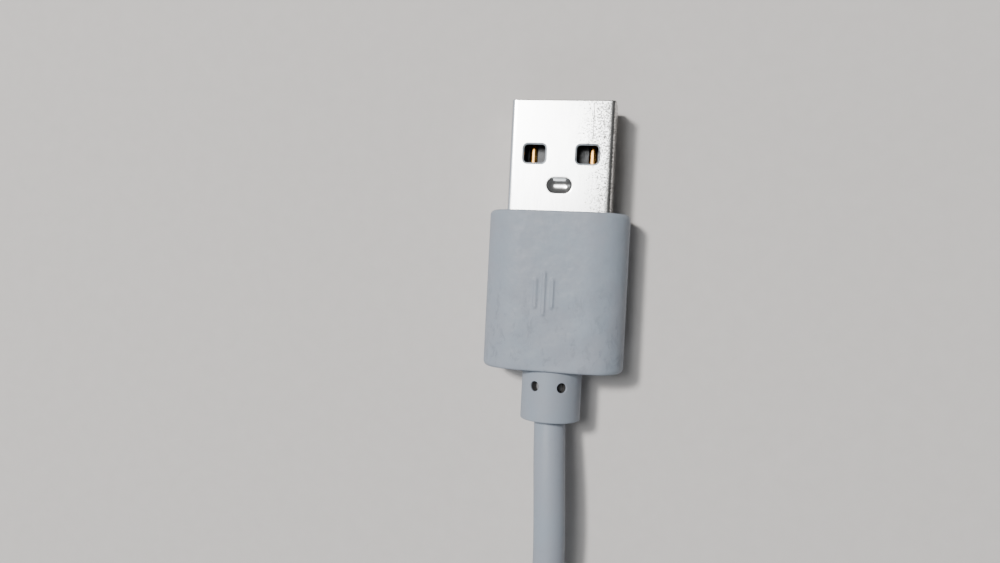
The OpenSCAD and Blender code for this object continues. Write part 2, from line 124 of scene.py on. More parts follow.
class CABLE_PG_plug(bpy.types.PropertyGroup):
    sheet: length("Sheet", "Thickness of the shell's sheet", 0.3 * MM)
    bend: length("Bend", "Outside radius of the shell's four bends", 0.5 * MM)
    window_w: length("Window width", "Width of a latch window", 2.9 * MM)
    window_l: length("Window length", "Length of a latch window", 2.5 * MM)
    window_r: length("Window corner", "Corner radius of a latch window", 0.65 * MM)
    window_x: length("Window offset", "From the axis to a window's middle", 3.05 * MM)
    window_back: length("Window setback", "From the front edge to a window", 6.2 * MM)
    dimple_w: length("Dimple width", "Width of the pressed dimple", 2.9 * MM)
    dimple_l: length("Dimple length", "Length of the pressed dimple", 1.8 * MM)
    dimple_back: length("Dimple setback", "From the front edge to the dimple", 9.8 * MM)
    dimple_deep: length("Dimple depth", "Depth of the pressed dimple", 0.35 * MM)
    metal: colour("Metal", "Nickel plate", (0.83, 0.82, 0.80))


class CABLE_PG_grip(bpy.types.PropertyGroup):
    flat: length("Flat", "Half the width of the grip's flat", 3 * MM)
    crown: FloatProperty(name="Crown", description="Fullness of the crown, 2 for an ellipse",
                         default=2.4, min=2, max=4)
    corner: length("Corner", "Corner radius of the grip seen from above", 0.6 * MM)
    rim: length("Rim", "Rounding of the grip's two rims", 0.22 * MM)
    bar_raise: length("Bar height", "Height of the three moulded bars", 0.13 * MM)
    sleeve_d: length("Sleeve", "Outside diameter of the strain relief", 7 * MM)
    vent_d: length("Vent", "Diameter of a vent hole", 1.15 * MM)
    vent_deep: length("Vent depth", "Depth of a vent hole", 1.1 * MM)
    vent_back: length("Vent setback", "From the grip's rear face to the holes", 1.8 * MM)
    vinyl: colour("Vinyl", "Soft grey vinyl of the grip and the jacket", (0.293, 0.331, 0.386))


class CABLE_PG_cord(bpy.types.PropertyGroup):
    diameter: length("Cord", "Outside diameter of the jacket", 3.7 * MM)
    wire: length("Conductor", "Outside diameter of one insulated conductor", 1.1 * MM)
    fold_r: length("Fold", "Radius of the inner turns at a fold", 11.1 * MM)
    fold_y: length("Half run", "From the hank's middle to the middle of a fold", 26 * MM)
    waist_x: length("Waist", "From the hank's axis to the inner turns at the tie", 3.5 * MM)
    waist_half: length("Waist run", "Half the straight part under the tie", 5.5 * MM)
    pitch: length("Pitch", "From one turn to the next", 3.72 * MM)
    tie: length("Tie", "Thickness of the tie", 0.8 * MM)


GROUPS = {"cable_plug": CABLE_PG_plug, "cable_grip": CABLE_PG_grip, "cable_cord": CABLE_PG_cord}


# ---------------------------------------------------------------- surfaces


def grid(points, keep=None):
    """A rows by columns array of points as quads between neighbours, or some of them."""
    rows, columns = points.shape[:2]
    k = np.arange(rows * columns).reshape(rows, columns)
    faces = np.stack([k[:-1, :-1], k[:-1, 1:], k[1:, 1:], k[1:, :-1]], -1)
    faces = faces.reshape(-1, 4) if keep is None else faces[keep]
    return points.reshape(-1, 3), faces


def build(name, patches, uv=None, sharp=35):
    """One mesh of all the patches. Points that fall together are merged, the faces are
    turned outwards, and edges that bend by more than the sharp angle stay crisp."""
    starts = np.cumsum([0] + [len(points) for points, _ in patches])
    points = np.concatenate([points for points, _ in patches])
    faces = np.concatenate([faces + start for (_, faces), start in zip(patches, starts)])
    mesh = bpy.data.meshes.new(name)
    mesh.from_pydata(points, [], faces)
    if uv is not None:
        layer = mesh.uv_layers.new(name="surface")
        layer.data.foreach_set("uv", uv.reshape(-1, 2)[faces.ravel()].ravel())
    work = bmesh.new()
    work.from_mesh(mesh)
    bmesh.ops.remove_doubles(work, verts=work.verts, dist=2 * NIL)
    bmesh.ops.recalc_face_normals(work, faces=work.faces)
    work.to_mesh(mesh)
    work.free()
    mesh.polygons.foreach_set("use_smooth", np.ones(len(mesh.polygons), bool))
    mesh.set_sharp_from_angle(angle=math.radians(sharp))
    return mesh


def stand(name, data):
    """A new object in the scene, at the origin."""
    thing = bpy.data.objects.new(name, data)
    bpy.context.scene.collection.objects.link(thing)
    return thing


def coat(piece, material):
    """Gives a piece its one material."""
    piece.data.materials.clear()
    piece.data.materials.append(material)


def show(mesh, material, *stands_for, slot=None):
    """Puts a finished mesh in the scene, riding on the frame in place of CAD nodes."""
    piece = stand(mesh.name, mesh)
    coat(piece, material)
    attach(piece, "root")
    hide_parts(*stands_for)
    return piece


def ease(t):
    """Half a wave from 0 to 1."""
    return (1 - np.cos(np.pi * np.clip(t, 0, 1))) / 2


def smooth(knots, steps):
    """A cubic through the knots whose end slopes follow the neighbouring knots."""
    knots = np.asarray(knots, float)
    p = np.concatenate([knots[:1], knots, knots[-1:]])
    a, b, c, d = (p[i:len(p) - 3 + i, None] for i in range(4))
    t = np.linspace(0, 1, steps, endpoint=False)[None, :, None]
    spans = (2 * b + (c - a) * t + (2 * a - 5 * b + 4 * c - d) * t ** 2
             + (3 * b - a - 3 * c + d) * t ** 3) / 2
    return np.concatenate([spans.reshape(-1, knots.shape[1]), knots[-1:]])


def unit(vectors):
    """Vectors cut to a length of one."""
    return vectors / np.linalg.norm(vectors, axis=-1, keepdims=True)


def at_y(section, y):
    """A section's X and Z as points that all lie at one Y."""
    return np.stack([section[:, 0], np.full(len(section), y), section[:, 1]], 1)


def run(line):
    """The distance along a line to each of its points."""
    steps = np.linalg.norm(np.diff(line, axis=0), axis=1)
    return np.concatenate([[0], np.cumsum(steps)])


def evenly(line, step):
    """The same line with its points at even distances."""
    at = run(line)
    to = np.linspace(0, at[-1], max(2, round(at[-1] / step) + 1))
    return np.stack([np.interp(to, at, line[:, k]) for k in range(line.shape[1])], 1)


def eased(line, count):
    """Each point moved to the mean of its neighbours, which takes kinks out of a line. The
    line is first carried on straight at both ends, so that they stay where they are."""
    beyond = np.arange(1, count + 1)[:, None]
    before = line[0] + (line[0] - line[1]) * beyond[::-1]
    after = line[-1] + (line[-1] - line[-2]) * beyond
    whole = np.concatenate([before, line, after])
    weights = np.hanning(2 * count + 3)[1:-1]
    return np.stack([np.convolve(axis, weights / weights.sum(), "valid") for axis in whole.T], 1)


def directions(line):
    """Heading, side and up at each point: side is level, and up is square to both."""
    heading = unit(np.gradient(line, axis=0))
    side = unit(np.cross(heading, [0, 0, 1]))
    return heading, side, np.cross(side, heading)


def tube(line, radii, sides):
    """Rings about a line: the point at angle a is the line's point plus the radius times
    side cos a + up sin a. A disc closes each end."""
    heading, side, up = directions(line)
    a = np.linspace(0, 2 * np.pi, sides + 1)[None, :, None]
    radii = np.broadcast_to(radii, len(line))[:, None, None]
    rings = line[:, None] + radii * (side[:, None] * np.cos(a) + up[:, None] * np.sin(a))
    rings[:, -1] = rings[:, 0]
    first, last = (np.repeat(line[k][None, None], sides + 1, 1) for k in (0, -1))
    return grid(np.concatenate([first, rings, last]))


def reach(angles, w, l, r):
    """Points where rays from the middle meet a rounded rectangle w by l, found by halving
    the span in which its distance function changes sign."""
    ray = np.stack([np.cos(angles), np.sin(angles)], -1)
    low, high = np.zeros(len(angles)), np.full(len(angles), w + l)
    for _ in range(36):
        middle = (low + high) / 2
        q = np.abs(ray * middle[:, None]) - [w / 2 - r, l / 2 - r]
        far = np.linalg.norm(np.maximum(q, 0), axis=1) + np.minimum(q.max(1), 0) - r
        low, high = np.where(far < 0, middle, low), np.where(far < 0, high, middle)
    return ray * high[:, None]


def grid_lines(stops, cell, bends=()):
    """Grid lines at the stops and evenly between them, none further apart than a cell. A
    gap that is one of the bends, given as (start, end), always gets seven cells."""
    stops = np.unique(np.round(stops, 9))
    found = [stops[:1]]
    for a, b in zip(stops, stops[1:]):
        bent = any(abs(a - start) < NIL and abs(b - end) < NIL for start, end in bends)
        count = 7 if bent else max(1, math.ceil((b - a) / cell))
        found.append(np.linspace(a, b, count + 1)[1:])
    return np.concatenate(found)


def block_at(u, v, half_u, half_v):
    """A block of cells about a place, as its ends in U and its ends in V."""
    return (u - half_u, u + half_u), (v - half_v, v + half_v)


def border(us, vs, block):
    """The grid points round a block of cells, in order, as U and V."""
    (a, b), (c, d) = (np.searchsorted(us, np.array(block[0]) - 1e-9),
                      np.searchsorted(vs, np.array(block[1]) - 1e-9))
    u, v = us[a:b + 1], vs[c:d + 1]
    ring = [np.stack([u[:-1], np.full(len(u) - 1, v[0])], 1),
            np.stack([np.full(len(v) - 1, u[-1]), v[:-1]], 1),
            np.stack([u[:0:-1], np.full(len(u) - 1, v[-1])], 1),
            np.stack([np.full(len(v) - 1, u[0]), v[:0:-1]], 1)]
    return np.concatenate(ring)


def outside(us, vs, blocks):
    """Which cells of a grid lie in none of the blocks."""
    u, v = (us[:-1] + us[1:]) / 2, (vs[:-1] + vs[1:]) / 2
    keep = np.ones((len(u), len(v)), bool)
    for (a, b), (c, d) in blocks:
        keep &= ~(((u > a) & (u < b))[:, None] & ((v > c) & (v < d))[None])
    return keep


def collar(us, vs, block, w, l, r, profile, first, last=None):
    """Rings from a block's border in to a rounded hole in its middle, w by l with corners r,
    and on down its wall. A profile step is (inset, depth): how far outside the hole's edge
    the ring runs, and how deep it lies. first and last are the depths at the border where
    the rings start and may end. Without a last one the hole has a floor."""
    ring, centre = border(us, vs, block), np.mean(block, axis=1)
    angles = np.arctan2(ring[:, 1] - centre[1], ring[:, 0] - centre[0])

    def level(edge, depth):
        return np.column_stack([edge, np.full(len(ring), depth)])

    rings = [level(ring, first)]
    for inset, depth in profile:
        edge = reach(angles, w + 2 * inset, l + 2 * inset, r + inset)
        rings.append(level(edge + centre, depth))
    rings.append(level(ring, last) if last is not None
                 else level(ring * 0 + centre, profile[-1][1]))
    rings = np.stack(rings)
    return np.concatenate([rings, rings[:, :1]], 1)


def rounded_run(s, w, h, r):
    """Corner centre and outward direction at a distance s along a rounded rectangle, from
    the middle of its underside towards +X. The centre moves along the straight sides and
    the direction turns at the corners."""
    a, b, arc = w / 2 - r, h / 2 - r, np.pi * r / 2
    knots = np.cumsum([0, a, arc, 2 * b, arc, 2 * a, arc, 2 * b, arc, a])
    turn = np.interp(s, knots, np.pi / 2 * np.array([-1, -1, 0, 0, 1, 1, 2, 2, 3, 3]))
    x = np.interp(s, knots, [0, a, a, a, a, -a, -a, -a, -a, 0])
    z = np.interp(s, knots, [-b, -b, -b, b, b, b, b, -b, -b, -b])
    return np.stack([x, z], -1), np.stack([np.cos(turn), np.sin(turn)], -1), knots


# ---------------------------------------------------------------- finishes


def shade(tint, by):
    """A colour made lighter or darker by a factor, or by one for each channel."""
    return tuple(float(c) for c in np.multiply(tint, by))


class Finish:
    """A material whose nodes are added by short calls. Constants go on the shader."""

    def __init__(self, name, **sockets):
        self.material = bpy.data.materials.new(name)
        self.material.use_nodes = True
        self.tree = self.material.node_tree
        self.shader = self.tree.nodes["Principled BSDF"]
        for key, value in sockets.items():
            self.shader.inputs[key.replace("_", " ")].default_value = value
        self.place = self.add("ShaderNodeTexCoord").outputs["Object"]

    def add(self, kind, inputs=(), **settings):
        """A node with its settings, and its inputs linked or set."""
        node = self.tree.nodes.new(kind)
        for key, value in settings.items():
            setattr(node, key, value)
        for key, value in dict(inputs).items():
            if isinstance(value, bpy.types.NodeSocket):
                self.tree.links.new(value, node.inputs[key])
            else:
                node.inputs[key].default_value = value
        return node

    def use(self, socket, value):
        self.tree.links.new(value, self.shader.inputs[socket])

    def linked(self, socket):
        """What is linked to one of the shader's sockets."""
        return self.shader.inputs[socket].links[0].from_socket

    def noise(self, size, detail=4, rough=0.6, stretch=(1, 1, 1), place=None, warp=0):
        """Noise whose features are about size metres across."""
        spot = self.add("ShaderNodeMapping", {"Vector": place or self.place, "Scale": stretch})
        return self.add("ShaderNodeTexNoise", {
            "Vector": spot.outputs[0], "Scale": 1 / size, "Detail": detail,
            "Roughness": rough, "Distortion": warp}).outputs[0]

    def math(self, operation, a, b=0.0, clamp=False):
        return self.add("ShaderNodeMath", {0: a, 1: b}, operation=operation,
                        use_clamp=clamp).outputs[0]

    def times(self, a, b):
        return self.math("MULTIPLY", a, b)

    def away(self, a, b):
        """How far apart two values are."""
        return self.math("ABSOLUTE", self.math("SUBTRACT", a, b))

    def band(self, value, low, high, out_low=0.0, out_high=1.0):
        """The value carried from one range to another along an S curve, and clamped."""
        return self.add("ShaderNodeMapRange", {
            "Value": value, "From Min": low, "From Max": high, "To Min": out_low,
            "To Max": out_high}, interpolation_type="SMOOTHSTEP").outputs[0]

    def mix(self, share, a, b):
        """One colour turned into another by a share."""
        a, b = ((*tint, 1) if isinstance(tint, tuple) else tint for tint in (a, b))
        return self.add("ShaderNodeMix", {0: share, 6: a, 7: b}, data_type="RGBA").outputs[2]

    def axis(self, letter):
        return self.add("ShaderNodeSeparateXYZ", {"Vector": self.place}).outputs[letter]

    def bump(self, height, distance, strength=1.0):
        """Height from 0 to 1 as a relief of the given distance in metres."""
        inputs = {"Height": height, "Distance": distance, "Strength": strength}
        if self.shader.inputs["Normal"].is_linked:
            inputs["Normal"] = self.linked("Normal")
        self.use("Normal", self.add("ShaderNodeBump", inputs).outputs[0])


def vinyl(name, tint, cloud_size=4.5 * MM):
    """Soft matt vinyl: mottled by handling, with a fine moulded grain."""
    f = Finish(name, Roughness=0.55, Specular_IOR_Level=0.35, Subsurface_Weight=0.08,
               Subsurface_Scale=0.0012)
    f.shader.inputs["Subsurface Radius"].default_value = (1, 0.9, 0.8)
    cloud = f.band(f.noise(cloud_size, 3), 0.35, 0.65)
    base = f.mix(cloud, shade(tint, (0.985, 1.005, 1.01)), shade(tint, (1.02, 0.99, 0.98)))
    smudge = f.band(f.noise(1.4 * MM, 5, 0.65), 0.52, 0.75, 0, 0.22)
    f.use("Base Color", f.mix(smudge, base, shade(tint, 0.8)))
    f.use("Roughness", f.band(f.noise(0.8 * MM, 4), 0.3, 0.7, 0.46, 0.62))
    f.bump(f.noise(0.09 * MM, 3, 0.7), 0.006 * MM, 0.6)
    return f


def grip_vinyl(tint):
    """The grip's vinyl, with shallow dents and scuffs that gather on its rear half."""
    f = vinyl("grip_vinyl", tint)
    scuff = f.band(f.noise(1.1 * MM, 6, 0.7, (1, 0.55, 1), warp=0.6), 0.5, 0.68)
    scuff = f.times(scuff, f.band(f.axis("Y"), -0.5 * MM, -6 * MM))
    base = f.linked("Base Color")
    f.use("Base Color", f.mix(f.times(scuff, 0.38), base, shade(tint, 0.55)))
    f.bump(scuff, 0.08 * MM, -0.7)
    f.bump(f.noise(1.9 * MM, 3, 0.5), 0.2 * MM, 0.55)
    return f.material


def relief_vinyl(tint, rear_y):
    """The strain relief's vinyl, with painted shade in its vent holes: nearly black on their
    walls, dark grey on their floors.
    """
    f = vinyl("relief_vinyl", tint)
    out = f.add("ShaderNodeCombineXYZ", {0: f.axis("X"), 1: f.away(f.axis("Z"), AXIS_Z)})
    out = f.add("ShaderNodeVectorMath", {0: out.outputs[0]}, operation="LENGTH").outputs["Value"]
    # Painted shade: the vent holes, where they sink below the sleeve's skin ahead of its rear
    # face, are coloured dark.
    hole_shade = f.times(f.band(out, 3.43 * MM, 3.2 * MM),
                   f.band(f.axis("Y"), rear_y + 0.5 * MM, rear_y + 0.7 * MM))
    base = f.linked("Base Color")
    # The painted shade's tints: dark grey on the holes' floors, nearly black on their walls.
    hole_shade_tint = f.mix(f.band(out, 2.5 * MM, 2.6 * MM), (0.2, 0.2, 0.205), (0.045, 0.043, 0.042))
    f.use("Base Color", f.mix(hole_shade, base, hole_shade_tint))
    return f.material


def nickel(tint, half_h, window_y):
    """Bright nickel plate: finely pitted towards one side, with one drawn wear line. The rolled
    rims of its windows and its left bend carry a painted reflection: tinted bluish grey and
    roughened."""
    f = Finish("nickel_plate", Metallic=1.0, Roughness=0.22)
    x, y = f.axis("X"), f.axis("Y")
    ahead = f.band(y, window_y - 2 * MM, window_y, 0, 1.2 * MM)
    side = f.band(f.math("ADD", x, ahead), 1.2 * MM, 6 * MM)
    pits = f.math("ADD", f.noise(0.2 * MM, 6, 0.8), f.times(side, 0.15))
    line = f.times(f.band(f.away(x, 3.58 * MM), 0.06 * MM, 0.03 * MM),
                   f.band(y, window_y, window_y + 0.6 * MM))
    line = f.times(line, f.band(f.noise(0.35 * MM, 3), 0.25, 0.5))
    worn = f.math("MAXIMUM", f.band(pits, 0.62, 0.69), line, clamp=True)
    depth = f.math("SUBTRACT", half_h, f.away(f.axis("Z"), AXIS_Z))
    rims = f.times(f.band(depth, 0.004 * MM, 0.02 * MM), f.band(depth, 0.2 * MM, 0.15 * MM))
    punched = f.times(f.band(f.away(y, window_y - 1.25 * MM), 1.6 * MM, 1.5 * MM),
                      f.band(x, 4.9 * MM, 4.8 * MM))
    # Painted reflection: the window rims and the left bend are tinted bluish grey and roughened so
    # that they read as a grey reflection.
    painted_reflection = f.times(rims, f.math("MAXIMUM", punched, f.band(x, -5 * MM, -5.2 * MM)))
    base = f.mix(painted_reflection, tint, (0.62, 0.67, 0.72))
    f.use("Base Color", f.mix(worn, base, shade(tint, 0.25)))
    brushed = f.noise(0.16 * MM, 3, 0.6, (1, 0.06, 1))
    rough = f.math("ADD", f.band(brushed, 0.3, 0.7, 0.18, 0.24), f.times(worn, 0.3))
    f.use("Roughness", f.math("ADD", rough, f.times(painted_reflection, 0.38)))
    f.bump(brushed, 0.0006 * MM, 0.2)
    f.bump(worn, 0.02 * MM, -0.8)
    return f.material


def mottled(name, tints, cloud, levels, rough, relief, **sockets):
    """A finish between two tints that follow a cloud of noise. The roughness and the relief
    follow noises of their own, or the cloud where none is given for them."""
    f = Finish(name, **sockets)
    drift = f.noise(*cloud)
    f.use("Base Color", f.mix(f.band(drift, *levels), *tints))
    if rough:
        f.use("Roughness", f.band(f.noise(*rough[0]) if rough[0] else drift, *rough[1]))
    f.bump(f.noise(*relief[0]) if relief[0] else drift, *relief[1])
    return f.material


def hard_plastic(name, tint, rough=0.3, grain=0.002):
    """Hard moulded plastic with a faint flow pattern."""
    return mottled(name, (tint, shade(tint, 1.25)), (1.2 * MM, 3, 0.5, (1, 0.35, 1)),
                   (0.35, 0.65), ((0.3 * MM, 3), (0.3, 0.7, rough - 0.05, rough + 0.08)),
                   ((0.06 * MM, 2), (grain * MM, 0.5)), Roughness=rough,
                   Specular_IOR_Level=0.3)


def plated(name, tint, rough=0.25):
    """Plated metal with fine rolling lines along it."""
    return mottled(name, (tint, shade(tint, 0.86)), (0.09 * MM, 3, 0.6, (1, 0.05, 1)),
                   (0.35, 0.65), (None, (0.3, 0.7, rough - 0.06, rough + 0.1)),
                   (None, (0.001 * MM, 0.5)), Metallic=1.0, Roughness=rough)


def laminate():
    """Circuit board: green mask over copper tracks, which show as a raised pattern."""
    f = Finish("board_laminate", Roughness=0.32, Specular_IOR_Level=0.5)
    spot = f.add("ShaderNodeMapping", {"Vector": f.place, "Scale": (1, 1, 0)})
    tracks = f.add("ShaderNodeTexBrick", {
        "Vector": spot.outputs[0], "Scale": 1.0, "Mortar Size": 0.12 * MM,
        "Mortar Smooth": 0.2, "Brick Width": 1.9 * MM, "Row Height": 0.8 * MM}).outputs["Fac"]
    f.use("Base Color", f.mix(tracks, (0.012, 0.11, 0.045), (0.03, 0.19, 0.07)))
    f.bump(tracks, 0.03 * MM, 0.6)
    f.bump(f.noise(0.2 * MM, 2), 0.004 * MM, 0.4)
    return f.material


def ceramic(name, tint):
    """Fired body, finely speckled."""
    return mottled(name, (tint, shade(tint, 0.8)), (0.12 * MM, 4), (0.4, 0.6), None,
                   ((0.08 * MM, 2), (0.003 * MM, 0.5)), Roughness=0.5)


def solder():
    """Reflowed solder: bright, with a soft crystalline mottling."""
    f = Finish("solder", Metallic=1.0, Roughness=0.3)
    crystals = f.noise(0.12 * MM, 4)
    frost = f.band(crystals, 0.4, 0.65)
    f.use("Base Color", f.mix(frost, (0.72, 0.72, 0.72), (0.5, 0.51, 0.53)))
    f.use("Roughness", f.band(crystals, 0.35, 0.65, 0.2, 0.45))
    f.bump(frost, 0.01 * MM, 0.5)
    return f.material


def strap_fabric():
    """Hook-and-loop strap: cross ribs under a nap of fine loops, laid by the strap's own
    map, in which a unit is a millimetre along and across."""
    f = Finish("tie_fabric", Roughness=0.85, Specular_IOR_Level=0.2, Sheen_Weight=0.2,
               Sheen_Roughness=0.5)
    own = f.add("ShaderNodeUVMap", uv_map="surface").outputs[0]
    nap = f.noise(0.22, 5, 0.7, place=own, warp=1.4)
    ribs = f.add("ShaderNodeTexWave", {
        "Vector": own, "Scale": 0.62, "Distortion": 1.2, "Detail": 2, "Detail Scale": 3},
        bands_direction="X").outputs["Fac"]
    base = f.mix(f.band(nap, 0.35, 0.7), (0.006, 0.006, 0.007), (0.035, 0.035, 0.038))
    f.use("Base Color", f.mix(f.times(ribs, 0.4), base, (0.015, 0.015, 0.017)))
    f.bump(ribs, 0.05 * MM, 0.5)
    f.bump(nap, 0.12 * MM, 0.8)
    return f.material


def shrink_polymer():
    """Shrunk sleeve: satin black, with a relief where it drew in."""
    return mottled("shrink_polymer", ((0.012, 0.012, 0.013), (0.03, 0.03, 0.032)),
                   (1.2 * MM, 4), (0.4, 0.7), (None, (0.3, 0.7, 0.34, 0.52)),
                   ((0.5 * MM, 3), (0.02 * MM, 0.4)), Roughness=0.42, Specular_IOR_Level=0.4)


def insulation(name, tint):
    """Extruded insulation: slightly glossy, dusty, with faint lines from the die."""
    dusty = tuple(c * 0.78 + 0.01 for c in tint)
    return mottled(name, (tint, dusty), (0.7 * MM, 4), (0.45, 0.75),
                   ((0.5 * MM, 3), (0.3, 0.7, 0.32, 0.5)),
                   ((0.2 * MM, 2, 0.5, (1, 0.2, 1)), (0.006 * MM, 0.5)), Roughness=0.38,
                   Specular_IOR_Level=0.45)


def matt_floor():
    """Pale paper: even, with a very faint tooth."""
    f = Finish("pale_floor", Roughness=0.9, Specular_IOR_Level=0.15)
    f.use("Base Color", f.mix(f.noise(2 * MM, 5), (0.60, 0.575, 0.555), (0.66, 0.635, 0.615)))
    f.bump(f.noise(0.5 * MM, 4), 0.02 * MM, 0.4)
    return f.material


# ---------------------------------------------------------------- operators


class Maker:
    """What the cable's operators share: they build on a click and cannot be cancelled."""
    bl_options = {"REGISTER", "UNDO"}

    def execute(self, context):
        self.make(context.scene.cable_plug, context.scene.cable_grip, context.scene.cable_cord)
        return {"FINISHED"}


class CABLE_OT_stage(Maker, bpy.types.Operator):
    """Add the floor, the lights and the camera"""
    bl_idname = "cable.stage"
    bl_label = "Stage"

    def light(self, name, place, size, power, tint):
        """A rectangular soft light that faces the origin."""
        lamp = bpy.data.lights.new(name, "AREA")
        lamp.shape = "RECTANGLE"
        lamp.size, lamp.size_y = size
        lamp.energy = power
        lamp.color = tint
        thing = stand(name, lamp)
        thing.location = place
        thing.rotation_euler = Vector(place).to_track_quat("Z", "Y").to_euler()

    def make(self, plug, grip, cord):
        a = np.linspace(0, 2 * np.pi, 97)
        disc = np.stack([np.cos(a), np.sin(a), 0 * a], -1)
        rings = np.array([0, 0.1, 0.3, 1, 3])[:, None, None] * disc[None]
        floor = stand("floor", build("floor", [grid(rings)]))
        floor.data.flip_normals()
        floor.data.materials.append(matt_floor())
        floor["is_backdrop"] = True
        self.light("key_light", (-0.38, 0.3, 0.98), (0.13, 0.13), 12, (1, 0.98, 0.96))
        self.light("soft_light", (-0.22, 0.2, 1), (0.26, 0.34), 4.2, (0.97, 0.99, 1))
        self.light("left_light", (-0.95, 0.1, 0.75), (0.3, 0.6), 0.4, (0.9, 0.95, 1))
        self.light("rear_light", (-0.12, -0.95, 0.75), (0.5, 0.3), 1.5, (0.9, 0.95, 1))
        world = bpy.data.worlds.new("studio")
        world.use_nodes = True
        sky = world.node_tree.nodes["Background"].inputs
        sky["Color"].default_value = (0.80, 0.82, 0.85, 1)
        sky["Strength"].default_value = 0.12
        bpy.context.scene.world = world
        lens = bpy.data.cameras.new("camera")
        lens.lens, lens.sensor_width = 28.8, 36
        lens.clip_start = 0.01
        camera = stand("camera", lens)
        camera.location = (11.634 * MM, -0.791 * MM, 97.572 * MM)
        right, up = (0.97976, 0.04945, -0.19398), (-0.0524, 0.99858, -0.01008)
        back = np.cross(right, up)
        turn = np.stack([right, np.cross(back, right), back], 1)
        camera.rotation_euler = Matrix(turn.tolist()).to_euler()
        bpy.context.scene.camera = camera


# The cord's free stretch, from the strain relief to where it joins the hank, in mm.
ROUTE = [(0, -18.5, 4), (0.2, -22, 4.6), (0.4, -25, 5.05), (0.65, -29, 5.3), (0.8, -33, 5.2),
         (0.75, -37, 4.6), (-0.4, -41.3, 3.3), (-3.1, -45, 2.2), (-7, -47.4, 1.9),
         (-11.6, -49.9, 1.9), (-14.3, -54.5, 1.9), (-15, -59.5, 1.9)]
REST_Z = 1.9 * MM


class CABLE_OT_cord(Maker, bpy.types.Operator):
    """Build the cord and wind its spare length into a hank"""
    bl_idname = "cable.cord"
    bl_label = "Cord and hank"

    @staticmethod
    def hank(cord, samples=90):
        """The hank's line. A lap has four legs: down one side, round a fold, up the other
        side and round the other fold. The column says how far out a turn lies, and the
        level how high, and both change along half a wave where one turn climbs over
        another. A side is a straight waist that widens to the folds along half a wave."""
        laps = np.arange(0, 18 + 1 / samples, 1 / samples)
        leg, t = np.floor(laps) % 4, laps % 1
        # The turns move in at leg 3.67, up at 7.33, out at 11 and up again at 14.6.
        column = 1 - ease((laps - 3.67) / 0.33) + ease((laps - 11) / 0.33)
        level = ease((laps - 7.33) / 0.34) + ease((laps - 14.6) / 0.4)
        along = cord.fold_y * (1 - 2 * t) * np.where(leg == 0, 1, -1)
        share = (np.abs(along) - cord.waist_half) / (cord.fold_y - cord.waist_half)
        spare = 0.4 * MM * np.sin(np.pi * np.clip(share, 0, 1)) ** 2
        beside = (cord.waist_x + (cord.fold_r - cord.waist_x) * ease(share)
                  + column * (cord.pitch + spare))
        radius = cord.fold_r + column * cord.pitch
        angle = np.pi * (t + (leg == 1))
        sides = np.isin(leg, (0, 2))
        x = np.where(sides, np.where(leg == 0, -beside, beside), radius * np.cos(angle))
        y = np.where(sides, along, radius * np.sin(angle)
                     + np.where(leg == 1, -cord.fold_y, cord.fold_y))
        lift = cord.tie * ease((15 * MM - np.abs(along)) / (9 * MM)) * sides
        x = x + 0.10 * MM * np.sin(2.3 * laps + 0.6)
        return np.stack([x, HANK_Y + y, REST_Z + level * cord.pitch + lift], 1)

    def make(self, plug, grip, cord):
        free = smooth(np.array(ROUTE) * MM, 12)
        line = eased(evenly(np.concatenate([free, self.hank(cord)]), 0.9 * MM), 4)
        at = run(line)
        swell = 1 + 0.004 * np.sin(at / (2.1 * MM)) + 0.004 * np.sin(at / (5.3 * MM))
        mesh = build("interface_cord", [tube(line, cord.diameter / 2 * swell, 24)], sharp=50)
        finish = vinyl("cord_vinyl", tuple(grip.vinyl), 7.2 * MM)
        show(mesh, finish.material, "cord", "cord_hank")
        CABLE_OT_cord.line = line


class CABLE_OT_tie(Maker, bpy.types.Operator):
    """Wrap the hank's waist in a hook-and-loop tie"""
    bl_idname = "cable.tie"
    bl_label = "Tie"

    def make(self, plug, grip, cord):
        """The strap follows the outer edge of the strands that it holds: at each angle,
        the strand that reaches furthest. It goes round a little more than once, and its
        end climbs over its beginning."""
        inner, outer = cord.waist_x, cord.waist_x + cord.pitch
        low = REST_Z + cord.tie
        r = cord.diameter / 2
        strands = np.array(
            [(s * outer, low + k * cord.pitch, r) for s in (-1, 1) for k in (0, 1)]
            + [(-outer, low + 2 * cord.pitch, r), (inner + 3 * MM, low + 6.6 * MM, cord.wire / 2)])
        start, lap = np.radians(62), np.radians(42)
        angle = np.linspace(start, start + 2 * np.pi + lap, 721)
        way = np.stack([np.cos(angle), np.sin(angle)], 1)
        best = strands[(way @ strands[:, :2].T + strands[:, 2]).argmax(1)]
        edge = best[:, :2] + way * best[:, 2:]
        wound = evenly(np.column_stack([edge, way * MM]), 0.25 * MM)
        at = run(wound[:, :2])
        normal = unit(wound[:, 2:])
        thick = cord.tie * 0.86
        climb = ease((at - at[-1] + 15 * MM) / (6 * MM)) * (thick + 0.04 * MM)
        half = span(TIE)[1] / 2
        tip = np.clip(at[-1] - at, 0, half * 0.45) / (half * 0.45)
        width = half * (0.55 + 0.45 * np.sqrt(1 - (1 - tip) ** 2))
        across = np.linspace(-1, 1, 15)
        round_off = np.sqrt(np.clip(1 - np.abs(across) ** 8, 0, 1))
        y = middle(TIE)[1] + width[:, None] * across[None]
        faces = []
        for side in (1, -1):
            h = (climb + thick / 2)[:, None] + side * thick / 2 * round_off[None]
            points = wound[:, None, :2] + normal[:, None] * h[..., None]
            faces.append(np.stack([points[..., 0], y, points[..., 1]], -1))
        spread = np.stack(np.broadcast_arrays(at[:, None] / MM, y / MM), -1)
        faces += [np.stack([faces[0][k], faces[1][k]]) for k in (0, -1)]
        maps = [spread, spread, spread[[0, 0]], spread[[-1, -1]]]
        uv = np.concatenate([m.reshape(-1, 2) for m in maps])
        mesh = build("hank_strap", [grid(points) for points in faces], uv, sharp=50)
        show(mesh, strap_fabric(), "hank_tie")


